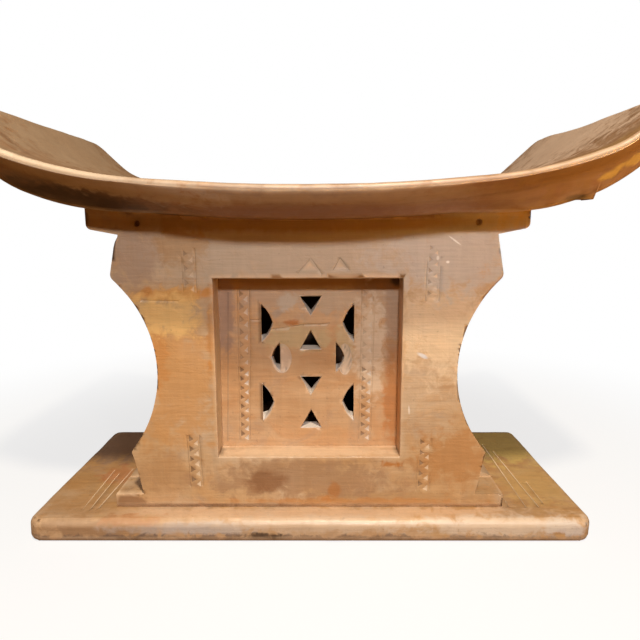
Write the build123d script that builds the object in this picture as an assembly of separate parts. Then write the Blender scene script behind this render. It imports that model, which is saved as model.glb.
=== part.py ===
"""Asante stool of joined hardwood: a turned-up seat on a waisted, pierced box pillar and a slab base.

Frame: millimetres, +Z up. The origin is the middle of the underside of the base.
X runs along the seat's length, Y through its depth, and the front is at -Y.
"""

from math import asin, cos, degrees, hypot, radians, sin, sqrt
import os

from build123d import *

# ---------------------------------------------------------------- driving dimensions
# Seat: a plank with a shallow dish, a quicker sweep on each side of it and turned-up tips.
seat_length = 504.0  # over the end edges, on the top face
seat_depth = 286.0
seat_thickness = 22.5
dish_radius = 1300.0
sweep_radius = 300.0
sweep_angle = 20.0  # slope of the seat where the sweep turns into the upturn
upturn_radius = 60.0
tip_angle = 43.0  # slope of the straight tips
tip_length = 50.0  # from the upturn to the end, along the slope
seat_top_arris = 5.0
seat_under_arris = 11.0
seat_end_arris = 4.0

# Pillar: two faces sawn to one outline, with ears under the seat and toes on the base.
pillar_depth = 154.0
pillar_height = 212.5  # from the top of the toes to the underside of the ears
ear_length = 341.0
ear_height = 11.3  # at the middle of the stool, below the seat
ear_slope = 4.5  # how far an ear's underside rises from the neck to the ear's end
ear_corner = 5.0
neck_width = 293.0
shoulder_width = 305.0
shoulder_drop = 32.5  # below the ears
shoulder_round = 6.0
waist_width = 238.6
hip_width = 289.6
hip_rise = 36.6  # above the toes
hip_round = 3.0
heel_width = 275.0
toe_length = 321.0
toe_height = 11.0

# Window in each face, and the pierced panel that sits in a rebate behind it.
window_width = 148.0
window_top_rail = 34.1
window_bottom_rail = 32.8
recess_depth = 24.0
panel_thickness = 10.0
panel_lap = 6.0  # rebate round the window
cheek_lap = 4.0  # how far each cheek covers the panel's edge and keeps it in

# Pierced pattern, about the middle of the window.
pattern_margin = 16.2  # from the window's top and bottom to the outer triangles
centre_gap = 11.8  # from the middle to the inner triangles
apex_gap = 12.5  # between the points of an inner and an outer triangle
triangle_width = 17.6
triangle_shift = 1.5  # the triangles' own centre line
outer_crescent_height = 32.0
outer_crescent_inset = 38.5  # from the middle to the straight side
outer_crescent_bulge = 9.6
middle_crescent_height = 25.5
middle_crescent_inset = 23.5
middle_crescent_bulge = 7.4
middle_crescent_rise = 5.0
crescent_shift = -1.0  # the crescents' own centre line
crescent_swell = 0.07  # sagitta of a crescent's two curved sides, per unit of their length
piercing_taper = 9.0  # degrees by which the knife cuts narrow towards the back
back_pattern_rise = 4.5  # how much higher the back panel's pattern sits than the front's

# Base slab.
base_length = 456.0
base_depth = 198.0
base_thickness = 20.0
base_corner = 13.0
base_top_arris = 7.0
base_under_arris = 4.0

# Joinery.
glue_line = 0.15  # between the seat's curved underside and what carries it
joint_clearance = 0.15  # round a tenon, a dowel or the panel in its rebate
tenon_shoulder = 9.0  # cheek wood left on each side of a tenon, along X
tenon_setback = 18.0  # cheek wood left in front of and behind a tenon
base_mortise_cover = 8.0  # wood left under the mortises in the base
bearer_cover = 4.0  # wood left above a mortise or below a dowel in the bearer
dowel_radius = 4.0
dowel_cover = 16.0  # wood left in front of a dowel in a face board
dowel_depth = 20.0  # in a cheek
dowel_setback = 36.0  # from each end of a cheek to its dowels
seat_dowel_radius = 5.0
seat_dowel_cover = 9.0  # seat wood left above a dowel
seat_dowel_inset = 16.0  # from a cheek's inner face to the inner seat dowels
pin_radius = 2.0
pin_inset = 39.5  # from an ear's end
pin_depth = 15.0  # in the bearer
pin_recess = 4.0  # how deep a pin's head is driven below the face

# ---------------------------------------------------------------- derived places
toe_top = base_thickness + toe_height
ear_under = toe_top + pillar_height
seat_under = ear_under + ear_height
seat_top = seat_under + seat_thickness
board_thickness = recess_depth + panel_thickness
inner_half = pillar_depth / 2 - board_thickness  # half the space between the face boards
cheek_inner = window_width / 2 + panel_lap - cheek_lap
window_sill = toe_top + window_bottom_rail
window_height = pillar_height - window_top_rail - window_bottom_rail
window_middle = window_sill + window_height / 2
cheek_middle = (cheek_inner + waist_width / 2) / 2
tenon_width = waist_width / 2 - cheek_inner - 2 * tenon_shoulder
tenon_depth = 2 * (inner_half - tenon_setback)
bearer_hole_depth = ear_height - bearer_cover
base_mortise_depth = base_thickness - base_mortise_cover
pin_place = ear_length / 2 - pin_inset
upturn_run = upturn_radius * (sin(radians(tip_angle)) - sin(radians(sweep_angle)))
tip_run = tip_length * cos(radians(tip_angle))
sweep_end = seat_length / 2 - tip_run - upturn_run  # X where the sweep turns into the upturn
sweep_reach = sweep_end - sweep_radius * sin(radians(sweep_angle))
dish_slope = degrees(asin(sweep_reach / (dish_radius - sweep_radius)))  # where the dish ends
clear_of_all = 2 * (seat_length + seat_depth)  # longer than anything it has to cut through


# ---------------------------------------------------------------- the seat's curve
def seat_curve(drop: float) -> list:
    """Edges of the seat's long curve in (X, Z), `drop` below its top face, from left to right.

    The arcs at different drops share their centres, so the plank keeps its thickness.
    """
    dish_centre = (0, seat_top + dish_radius)
    dish = CenterArc(dish_centre, dish_radius + drop, 270 - dish_slope, 2 * dish_slope)
    sweep_arc = JernArc(dish @ 1, dish % 1, sweep_radius + drop, sweep_angle - dish_slope)
    upturn = JernArc(sweep_arc @ 1, sweep_arc % 1, upturn_radius + drop, tip_angle - sweep_angle)
    tip = Line(upturn @ 1, (upturn @ 1) + (upturn % 1) * tip_length)
    left = [mirror(edge, Plane.YZ) for edge in (tip, upturn, sweep_arc)]
    return [*left, dish, sweep_arc, upturn, tip]


def seat_underside_z(x: float) -> float:
    """Height of the seat's underside at `x`, on the dish or on the sweep."""
    run = abs(x)
    dish_reach = (dish_radius + seat_thickness) * sin(radians(dish_slope))
    centre = seat_top + dish_radius
    if run <= dish_reach:
        return centre - sqrt((dish_radius + seat_thickness) ** 2 - run**2)
    gap = dish_radius - sweep_radius
    sweep_x = gap * sin(radians(dish_slope))
    sweep_z = centre - gap * cos(radians(dish_slope))
    return sweep_z - sqrt((sweep_radius + seat_thickness) ** 2 - (run - sweep_x) ** 2)


def upright_slab(outline, depth: float) -> Part:
    """A face drawn in (X, Z), given `depth` in Y and centred on Y = 0."""
    return extrude(Plane.XZ * outline, depth / 2, both=True)


def space_above_underside(gap: float) -> Part:
    """Everything above a surface `gap` below the seat's underside, for cutting what carries it."""
    edges = seat_curve(seat_thickness + gap)
    right_end = edges[-1] @ 1
    left_end = Vector(-right_end.X, right_end.Y)
    ceiling = 2 * seat_top
    lid = Polyline(right_end, (right_end.X, ceiling), (left_end.X, ceiling), left_end)
    return upright_slab(make_face([*edges, *lid.edges()]), clear_of_all)


# ---------------------------------------------------------------- the pillar's outline
def pillar_outline():
    """The face boards' outline in (X, Z): ears, neck, shoulder, waist, hip, heel and toes."""
    ear_end = ear_under + ear_slope
    above_seat_line = seat_top + tip_length  # trimmed later to the seat's underside
    shoulder_z = ear_under - shoulder_drop
    hip_z = toe_top + hip_rise
    middle_z = (shoulder_z + hip_z) / 2
    ear = [(ear_length / 2, above_seat_line), (ear_length / 2, ear_end), (neck_width / 2, ear_under)]
    upper = Polyline(*ear, (shoulder_width / 2, shoulder_z))
    waist = ThreePointArc(upper @ 1, (waist_width / 2, middle_z), (hip_width / 2, hip_z))
    heel = (heel_width / 2, toe_top)
    toe = [(toe_length / 2, toe_top), (toe_length / 2, base_thickness)]
    lower = Polyline(waist @ 1, heel, *toe)
    right = [*upper.edges(), waist, *lower.edges()]
    left = [mirror(edge, Plane.YZ) for edge in right]
    top = Line(upper @ 0, (-(upper @ 0).X, (upper @ 0).Y))
    bottom = Line(lower @ 1, (-(lower @ 1).X, (lower @ 1).Y))
    face = make_face([*right, top, *left, bottom])
    face = fillet(corners_at(face, ear_length / 2, ear_end), ear_corner)
    face = fillet(corners_at(face, shoulder_width / 2, shoulder_z), shoulder_round)
    return fillet(corners_at(face, hip_width / 2, hip_z), hip_round)


def corners_at(face, x: float, z: float) -> list:
    """The two corners of an outline at (x, z) and (-x, z)."""
    return [v for v in face.vertices() if hypot(abs(v.X) - x, v.Y - z) < 0.01]


def between(low: float, high: float):
    """A band in (X, Z) from height `low` to height `high`, wider than the stool."""
    return Pos(0, (low + high) / 2) * Rectangle(clear_of_all, high - low)


# ---------------------------------------------------------------- piercings
def triangle_piercing(base_z: float, apex_z: float):
    """A triangle that stands on `base_z` and points to `apex_z`."""
    half = triangle_width / 2
    middle = triangle_shift
    corners = [(middle - half, base_z), (middle + half, base_z), (middle, apex_z)]
    return make_face(Polyline(*corners, close=True).edges())


def crescent_piercing(side_x: float, middle_z: float, height: float, bulge: float):
    """A half lens: a straight side at `side_x`, and two swelling sides that meet `bulge` from it."""
    top = Vector(side_x, middle_z + height / 2)
    point = Vector(side_x + bulge, middle_z)
    bottom = Vector(side_x, middle_z - height / 2)
    swell = crescent_swell * (top - point).length
    if bulge > 0:
        swell = -swell
    upper = SagittaArc(point, top, swell)
    lower = SagittaArc(bottom, point, swell)
    return make_face([upper, lower, Line(top, bottom)])


def piercings() -> list:
    """The ten piercings of a panel, in (X, Z): four triangles, four outer and two middle crescents."""
    height = (window_height / 2 - pattern_margin - centre_gap - apex_gap) / 2
    shapes = []
    for way in (1, -1):
        inner_base = window_middle + way * centre_gap
        outer_base = inner_base + way * (2 * height + apex_gap)
        shapes.append(triangle_piercing(inner_base, inner_base + way * height))
        shapes.append(triangle_piercing(outer_base, outer_base - way * height))
        row = window_middle + way * (centre_gap + height + apex_gap / 2)
        for side in (1, -1):
            x = crescent_shift + side * outer_crescent_inset
            shapes.append(
                crescent_piercing(x, row, outer_crescent_height, -side * outer_crescent_bulge)
            )
    for side in (1, -1):
        x = crescent_shift + side * middle_crescent_inset
        row = window_middle + middle_crescent_rise
        shapes.append(
            crescent_piercing(x, row, middle_crescent_height, side * middle_crescent_bulge)
        )
    return shapes


# ---------------------------------------------------------------- tenons, dowels and pins
def whittled_peg(radius: float, length: float) -> Part:
    """An upright peg of eight flats, `radius` from its middle to a flat, centred on the origin."""
    octagon = RegularPolygon(radius, 8, major_radius=False)
    return extrude(octagon, length / 2, both=True)


def upright_block(x: float, width: float, depth: float, low: float, high: float) -> Part:
    """A block centred on (x, 0), from height `low` to `high`."""
    return Pos(x, 0, (low + high) / 2) * Box(width, depth, high - low)


def cheek_tenons(side: int, clearance: float) -> Part:
    """A cheek's stub tenon into the bearer and its long one through the plinth into the base."""
    x = side * cheek_middle
    width = tenon_width + 2 * clearance
    depth = tenon_depth + 2 * clearance
    top = ear_under + bearer_hole_depth + clearance
    bottom = base_thickness - base_mortise_depth - clearance
    upper = upright_block(x, width, depth, ear_under, top)
    lower = upright_block(x, width, depth, bottom, toe_top)
    return upper + lower


def board_dowels(clearance: float) -> list:
    """Two dowels across each of the four joints between a face board and a cheek."""
    radius = dowel_radius + clearance
    grip = board_thickness - dowel_cover
    length = grip + dowel_depth
    heights = [toe_top + dowel_setback, ear_under - dowel_setback]
    return [
        Pos(side * cheek_middle, way * (inner_half + (grip - dowel_depth) / 2), z)
        * Rot(90, 0, 0)
        * whittled_peg(radius, length + 2 * clearance)
        for side in (-1, 1)
        for way in (-1, 1)
        for z in heights
    ]


def seat_dowels(clearance: float) -> list:
    """Four upright dowels between the bearer and the seat, on the stool's middle line."""
    radius = seat_dowel_radius + clearance
    rise = seat_thickness - seat_dowel_cover
    outer = (pin_place + ear_length / 2) / 2
    inner = cheek_inner - seat_dowel_inset
    length = bearer_hole_depth + rise
    return [
        Pos(x, 0, seat_underside_z(x) + (rise - bearer_hole_depth) / 2)
        * whittled_peg(radius, length + 2 * clearance)
        for x in (-outer, -inner, inner, outer)
    ]


def bearer_pins(clearance: float, recess: float) -> list:
    """A pin through each ear of each face board into the bearer, its head `recess` deep."""
    length = board_thickness + pin_depth - recess
    z = (seat_underside_z(pin_place) + ear_under) / 2
    middle = inner_half - pin_depth + length / 2
    return [
        Pos(side * pin_place, way * middle, z)
        * Rot(90, 0, 0)
        * whittled_peg(pin_radius + clearance, length)
        for side in (-1, 1)
        for way in (-1, 1)
    ]


# ---------------------------------------------------------------- the pieces
def plank_section():
    """The plank's cross-section, its top face on the X axis: small arrises above, broad below."""
    section = Pos(0, -seat_thickness / 2) * Rectangle(seat_depth, seat_thickness)
    corners = section.vertices().sort_by(Axis.Y)
    section = fillet(corners[2:], seat_top_arris)
    corners = section.vertices().sort_by(Axis.Y)
    return fillet(corners[:2], seat_under_arris)


def make_seat() -> Part:
    """The plank: its section run along the long curve, the square ends eased all round."""
    path = Wire((Plane.XZ * (Curve() + seat_curve(0))).edges())  # it starts at the right-hand end
    start = Plane(path @ 0, x_dir=(0, -1, 0), z_dir=path % 0)
    plank = sweep(start * plank_section(), path)
    ends = plank.faces().sort_by(Axis.X)
    ends = [ends[0], ends[-1]]
    plank = chamfer([edge for face in ends for edge in face.edges()], seat_end_arris)
    return plank - seat_dowels(joint_clearance)


def make_bearer() -> Part:
    """The block between the ears: its top follows the seat, its ends slope as the ears do."""
    outline = pillar_outline() & between(ear_under, clear_of_all)
    block = upright_slab(outline, 2 * inner_half) - space_above_underside(glue_line)
    sides = (-1, 1)
    block -= [cheek_tenons(side, joint_clearance) for side in sides]
    block -= seat_dowels(joint_clearance)
    return block - bearer_pins(joint_clearance, 0)


def make_cheek(side: int) -> Part:
    """One waisted side of the pillar, with its tenons, between the two face boards."""
    reach = Pos(side * (cheek_inner + clear_of_all / 2), window_middle)
    outline = pillar_outline() & between(toe_top, ear_under)
    outline &= reach * Rectangle(clear_of_all, clear_of_all)
    cheek = upright_slab(outline, 2 * inner_half) + cheek_tenons(side, 0)
    return cheek - board_dowels(joint_clearance)


def make_foot_plinth() -> Part:
    """The low step between the toes of the two face boards."""
    outline = pillar_outline() & between(base_thickness, toe_top)
    plinth = upright_slab(outline, 2 * inner_half)
    return plinth - [cheek_tenons(side, joint_clearance) for side in (-1, 1)]


def make_board(way: int) -> Part:
    """A face board, `way` -1 at the front and 1 at the back: outline, window, rebate and holes."""
    board = extrude(Plane.XZ * pillar_outline(), -way * board_thickness)
    board = Pos(0, way * inner_half, 0) * board
    board -= space_above_underside(glue_line)
    window = Pos(0, window_middle) * Rectangle(window_width, window_height)
    board -= upright_slab(window, clear_of_all)
    lap = panel_lap + joint_clearance
    rebate = Pos(0, window_middle) * Rectangle(window_width + 2 * lap, window_height + 2 * lap)
    board -= upright_slab(rebate, 2 * (inner_half + panel_thickness))
    board -= board_dowels(joint_clearance)
    return board - bearer_pins(joint_clearance, 0)


def make_panel(way: int) -> Part:
    """A sunk panel with its ten piercings, cut from the face and narrower at the back."""
    size = Rectangle(window_width + 2 * panel_lap, window_height + 2 * panel_lap)
    face = Plane((0, way * (inner_half + panel_thickness), 0), x_dir=(1, 0, 0), z_dir=(0, -1, 0))
    panel = extrude(face * (Pos(0, window_middle) * size), way * panel_thickness)
    rise = Pos(0, back_pattern_rise if way > 0 else 0)
    for shape in piercings():
        panel -= extrude(face * (rise * shape), way * panel_thickness, taper=piercing_taper)
    return panel


def make_base() -> Part:
    """The slab, its corners and arrises worn round, with mortises for the cheeks' tenons."""
    slab = extrude(RectangleRounded(base_length, base_depth, base_corner), base_thickness)
    slab = fillet(slab.faces().sort_by(Axis.Z)[-1].edges(), base_top_arris)
    slab = chamfer(slab.faces().sort_by(Axis.Z)[0].edges(), base_under_arris)
    return slab - [cheek_tenons(side, joint_clearance) for side in (-1, 1)]


def build_parts() -> dict:
    """Every piece of the stool, by its node's name."""
    return {
        "base": make_base(),
        "foot_plinth": make_foot_plinth(),
        "left_cheek": make_cheek(-1),
        "right_cheek": make_cheek(1),
        "front_board": make_board(-1),
        "back_board": make_board(1),
        "front_panel": make_panel(-1),
        "back_panel": make_panel(1),
        "bearer": make_bearer(),
        "seat": make_seat(),
        "board_dowels": Compound(board_dowels(0)),
        "seat_dowels": Compound(seat_dowels(0)),
        "bearer_pins": Compound(bearer_pins(0, pin_recess)),
    }


os.makedirs("parts", exist_ok=True)
for name, piece in build_parts().items():
    export_step(piece, f"parts/{name}.step")
    print(f"{name}: {len(piece.solids())} solid(s), {piece.volume / 1000:.1f} cm3")
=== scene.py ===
"""Asante stool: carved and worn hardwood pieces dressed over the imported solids.

Frame: metres, +Z up, origin in the middle of the base's underside, front at -Y, length along X.
"""

from __future__ import annotations

import logging
import math
from dataclasses import dataclass, field
from enum import Enum
from typing import Callable, Iterable, Sequence

import bmesh
import bpy
from bmesh.types import BMEdge, BMesh, BMFace, BMVert
from bpy.types import Material, Node, NodeSocket, NodeTree, Object, World
from mathutils import Matrix, Vector, noise

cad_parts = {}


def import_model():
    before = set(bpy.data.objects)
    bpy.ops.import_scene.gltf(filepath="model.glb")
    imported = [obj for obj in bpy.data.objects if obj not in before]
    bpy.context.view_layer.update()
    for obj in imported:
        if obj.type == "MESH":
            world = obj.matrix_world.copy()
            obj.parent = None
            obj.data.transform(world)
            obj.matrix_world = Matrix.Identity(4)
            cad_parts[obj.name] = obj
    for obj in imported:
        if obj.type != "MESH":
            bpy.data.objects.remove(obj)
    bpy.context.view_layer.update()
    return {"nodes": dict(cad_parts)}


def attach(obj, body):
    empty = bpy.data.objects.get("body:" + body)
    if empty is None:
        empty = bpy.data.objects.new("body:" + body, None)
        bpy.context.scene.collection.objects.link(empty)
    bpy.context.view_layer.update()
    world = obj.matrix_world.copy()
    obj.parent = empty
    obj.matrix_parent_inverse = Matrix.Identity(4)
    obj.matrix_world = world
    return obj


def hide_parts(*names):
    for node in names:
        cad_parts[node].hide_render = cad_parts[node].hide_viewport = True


log = logging.getLogger("asante_stool")

MM = 0.001
BODY = "root"
KNIFE_LAYERS = ("cut", "soot")  # pale and dark colour on a mesh's faces: fresh and dirty cuts, painted light and painted shade
Rgb = tuple[float, float, float]
Point2 = tuple[float, float]
Point3 = tuple[float, float, float]
FaceTest = Callable[[BMFace], bool]


class Way(Enum):
    """Which of the stool's two faces a piece belongs to."""

    FRONT = -1
    BACK = 1


class Slot(Enum):
    """The record's material slots."""

    SEAT = "seat_wood"
    PILLAR = "pillar_wood"
    PANEL = "panel_wood"
    BASE = "base_wood"
    PEG = "peg_wood"


# ---------------------------------------------------------------- shader helpers
MIX_BELOW, MIX_ABOVE, MIX_RESULT = 6, 7, 2  # a Mix node's colour sockets


class Graph:
    """A node tree with short ways to add and join its nodes."""

    def __init__(self, tree: NodeTree) -> None:
        """Keeps the tree that the nodes go into."""
        self.tree = tree

    def feed(self, socket: NodeSocket, value: object) -> None:
        """Links a socket into `socket`, or writes a plain value on it.

        Args:
            socket: the input to fill.
            value: a socket, a number, a vector or a colour.
        """
        if isinstance(value, NodeSocket):
            self.tree.links.new(value, socket)
        elif isinstance(value, tuple) and len(value) == 3 and socket.type == "RGBA":
            socket.default_value = (*value, 1.0)
        else:
            socket.default_value = value

    def add(self, kind: str, inputs: dict | None = None, **settings: object) -> Node:
        """Adds a node, sets its options and fills its inputs.

        Args:
            kind: the node's type name.
            inputs: sockets or plain values, by the input's name or number.
            settings: option names and values.
        Returns:
            The new node.
        """
        node = self.tree.nodes.new(kind)
        for name, value in settings.items():
            setattr(node, name, value)
        for name, value in (inputs or {}).items():
            self.feed(node.inputs[name], value)
        return node

    def math(self, operation: str, *values: object, clamp: bool = False) -> NodeSocket:
        """A Math node's result, kept between 0 and 1 with `clamp`."""
        inputs = dict(enumerate(values))
        return self.add("ShaderNodeMath", inputs, operation=operation, use_clamp=clamp).outputs[0]

    def vector(self, operation: str, *values: object, output: str = "Vector") -> NodeSocket:
        """A Vector Math node's result."""
        inputs = dict(enumerate(values))
        return self.add("ShaderNodeVectorMath", inputs, operation=operation).outputs[output]

    def noise(self, place: NodeSocket, stretch: Point3, scale: float, detail: float, rough: float,
              warp: float = 0.0) -> NodeSocket:
        """A Noise Texture's factor, about 0.5 in the mean; low stretches draw it out along an axis."""
        inputs = {"Vector": self.vector("MULTIPLY", place, stretch), "Scale": scale, "Detail": detail,
                  "Roughness": rough, "Distortion": warp}
        return self.add("ShaderNodeTexNoise", inputs, noise_dimensions="3D").outputs["Fac"]

    def span(self, value: object, low: float, high: float, to_low: float = 0.0,
             to_high: float = 1.0) -> NodeSocket:
        """A smooth step from `to_low` at `low` to `to_high` at `high`."""
        inputs = {"Value": value, "From Min": low, "From Max": high, "To Min": to_low, "To Max": to_high}
        return self.add("ShaderNodeMapRange", inputs, interpolation_type="SMOOTHSTEP").outputs["Result"]

    def mix(self, factor: object, below: object, above: object, blend: str = "MIX") -> NodeSocket:
        """A colour Mix node's result: `above` shows over `below` by the factor."""
        inputs = {0: factor, MIX_BELOW: below, MIX_ABOVE: above}
        return self.add("ShaderNodeMix", inputs, data_type="RGBA", blend_type=blend).outputs[MIX_RESULT]

    def tint(self, colour: object, mask: NodeSocket, strength: float, above: Rgb) -> NodeSocket:
        """Lays `above` over a colour where a mask says so, at a strength."""
        return self.mix(self.math("MULTIPLY", mask, strength), colour, above)

    def shade(self, colour: NodeSocket, mask: NodeSocket, low: float, high: float) -> NodeSocket:
        """Multiplies a colour by `low` where a mask is 0 and by `high` where it is 1."""
        value = self.span(mask, 0.0, 1.0, low, high)
        grey = self.add("ShaderNodeCombineColor", {0: value, 1: value, 2: value})
        return self.mix(1.0, colour, grey.outputs["Color"], "MULTIPLY")

    def blend(self, factor: NodeSocket, first: Node, second: Node) -> Node:
        """A Mix Shader node between two shaders."""
        return self.add("ShaderNodeMixShader", {0: factor, 1: first.outputs[0], 2: second.outputs[0]})

    def attribute(self, name: str) -> NodeSocket:
        """The factor of one of the piece's own attributes."""
        return self.add("ShaderNodeAttribute", attribute_name=name).outputs["Fac"]

    def close_group(self, **masks: NodeSocket) -> NodeTree:
        """Puts a node group's masks out under their names and gives the group."""
        for name in masks:
            self.tree.interface.new_socket(name=name, in_out="OUTPUT", socket_type="NodeSocketFloat")
        self.add("NodeGroupOutput", masks)
        return self.tree


def open_group(name: str, numbers: Sequence[str] = (), vectors: Sequence[str] = ("Place",)
               ) -> tuple[Graph, dict[str, NodeSocket]]:
    """Starts a shader node group.

    Args:
        name: the group's name.
        numbers: names of the inputs that take a number.
        vectors: names of the inputs that take a vector.
    Returns:
        Its graph and its inputs, by name.
    """
    tree = bpy.data.node_groups.new(name, "ShaderNodeTree")
    for kind, labels in (("NodeSocketVector", vectors), ("NodeSocketFloat", numbers)):
        for label in labels:
            tree.interface.new_socket(name=label, in_out="INPUT", socket_type=kind)
    graph = Graph(tree)
    return graph, graph.add("NodeGroupInput").outputs


def open_nodes(holder: Material | World) -> Graph:
    """Empties a material's or a world's node tree and opens it."""
    holder.use_nodes = True
    holder.node_tree.nodes.clear()
    return Graph(holder.node_tree)


def grain_group() -> NodeTree:
    """Fibres, figure and pores that run along X.

    Returns:
        The group, with the masks Fibre, Figure and Pore.
    """
    graph, start = open_group("timber_grain")
    place = start["Place"]
    fibre = graph.noise(place, (0.06, 1.0, 1.0), 560.0, 3.0, 0.55, 0.4)
    figure = graph.noise(place, (0.13, 1.0, 1.0), 62.0, 4.0, 0.55, 1.6)
    pore = graph.noise(place, (0.12, 1.0, 1.0), 1300.0, 1.0, 0.4)
    return graph.close_group(Fibre=graph.span(fibre, 0.3, 0.7), Figure=graph.span(figure, 0.42, 0.74),
                             Pore=graph.span(pore, 0.68, 0.78))


def patina_group() -> NodeTree:
    """Blotches of handling and age, from hand-wide to a millimetre.

    Returns:
        The group, with the masks Broad, Cloud, Smudge, Speck and Torn.
    """
    graph, start = open_group("patina")
    place = start["Place"]
    broad = graph.noise(place, (0.8, 1.0, 1.0), 15.0, 3.0, 0.5, 0.7)
    cloud = graph.noise(place, (0.75, 1.0, 1.0), 52.0, 5.0, 0.6, 0.8)
    smudge = graph.noise(place, (1.0, 1.0, 0.7), 31.0, 6.0, 0.68, 1.2)
    speck = graph.noise(place, (1.0, 1.0, 1.0), 300.0, 2.0, 0.5)
    torn = graph.noise(place, (1.0, 1.0, 1.0), 95.0, 5.0, 0.62, 0.5)
    return graph.close_group(
        Broad=graph.span(broad, 0.38, 0.64), Cloud=graph.span(cloud, 0.4, 0.68),
        Smudge=graph.span(smudge, 0.5, 0.72), Speck=graph.span(speck, 0.66, 0.76),
        Torn=graph.math("SUBTRACT", torn, 0.5))


def stain_group() -> NodeTree:
    """A soft patch with a broken edge, round a place on the wood.

    Returns:
        The group, with the mask Patch.
    """
    graph, start = open_group("stain", ("Torn", "Lean", "Broken"), ("Place", "Centre", "Reach"))
    gap = graph.vector("SUBTRACT", start["Place"], start["Centre"])
    turned = graph.add("ShaderNodeVectorRotate", {"Vector": gap, "Angle": start["Lean"]},
                       rotation_type="Y_AXIS").outputs[0]
    away = graph.vector("LENGTH", graph.vector("DIVIDE", turned, start["Reach"]), output="Value")
    edge = graph.math("MULTIPLY", start["Torn"], start["Broken"])
    return graph.close_group(Patch=graph.span(graph.math("ADD", away, edge), 1.15, 0.5))


def tool_mark_group() -> NodeTree:
    """Faint upright scraper strokes and shallow knife facets.

    Returns:
        The group, with the masks Stroke and Facet.
    """
    graph, start = open_group("tool_marks")
    place = start["Place"]
    stroke = graph.noise(place, (1.0, 0.5, 0.12), 150.0, 3.0, 0.5, 0.3)
    inputs = {"Vector": graph.vector("MULTIPLY", place, (0.6, 1.0, 0.8)), "Scale": 70.0}
    facet = graph.add("ShaderNodeTexVoronoi", inputs, feature="SMOOTH_F1")
    return graph.close_group(Stroke=graph.span(stroke, 0.36, 0.66), Facet=facet.outputs["Distance"])


@dataclass
class WoodEffects:
    """The node groups that every wood finish shares."""

    grain: NodeTree = field(default_factory=grain_group)
    patina: NodeTree = field(default_factory=patina_group)
    stain: NodeTree = field(default_factory=stain_group)
    tool_marks: NodeTree = field(default_factory=tool_mark_group)


@dataclass(frozen=True)
class Stain:
    """A patch of other colour on the wood, in millimetres: where it lies, how far it reaches."""

    place: Point3
    reach: Point3
    colour: Rgb
    strength: float
    lean: float = 0.0  # degrees, seen from the front
    broken: float = 2.4  # how torn its edge is

    def lay(self, graph: Graph, group: NodeTree, place: NodeSocket, torn: NodeSocket,
            colour: NodeSocket) -> NodeSocket:
        """Lays the stain over a colour.

        Args:
            graph: the material's graph.
            group: the shared stain group.
            place: where the wood is.
            torn: the noise that breaks its edge.
            colour: the colour below.
        Returns:
            The stained colour's socket.
        """
        inputs = {"Place": place, "Torn": torn, "Centre": tuple(MM * c for c in self.place),
                  "Reach": tuple(MM * r for r in self.reach), "Lean": math.radians(self.lean),
                  "Broken": self.broken}
        patch = graph.add("ShaderNodeGroup", inputs, node_tree=group)
        return graph.tint(colour, patch.outputs["Patch"], self.strength, self.colour)


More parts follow.
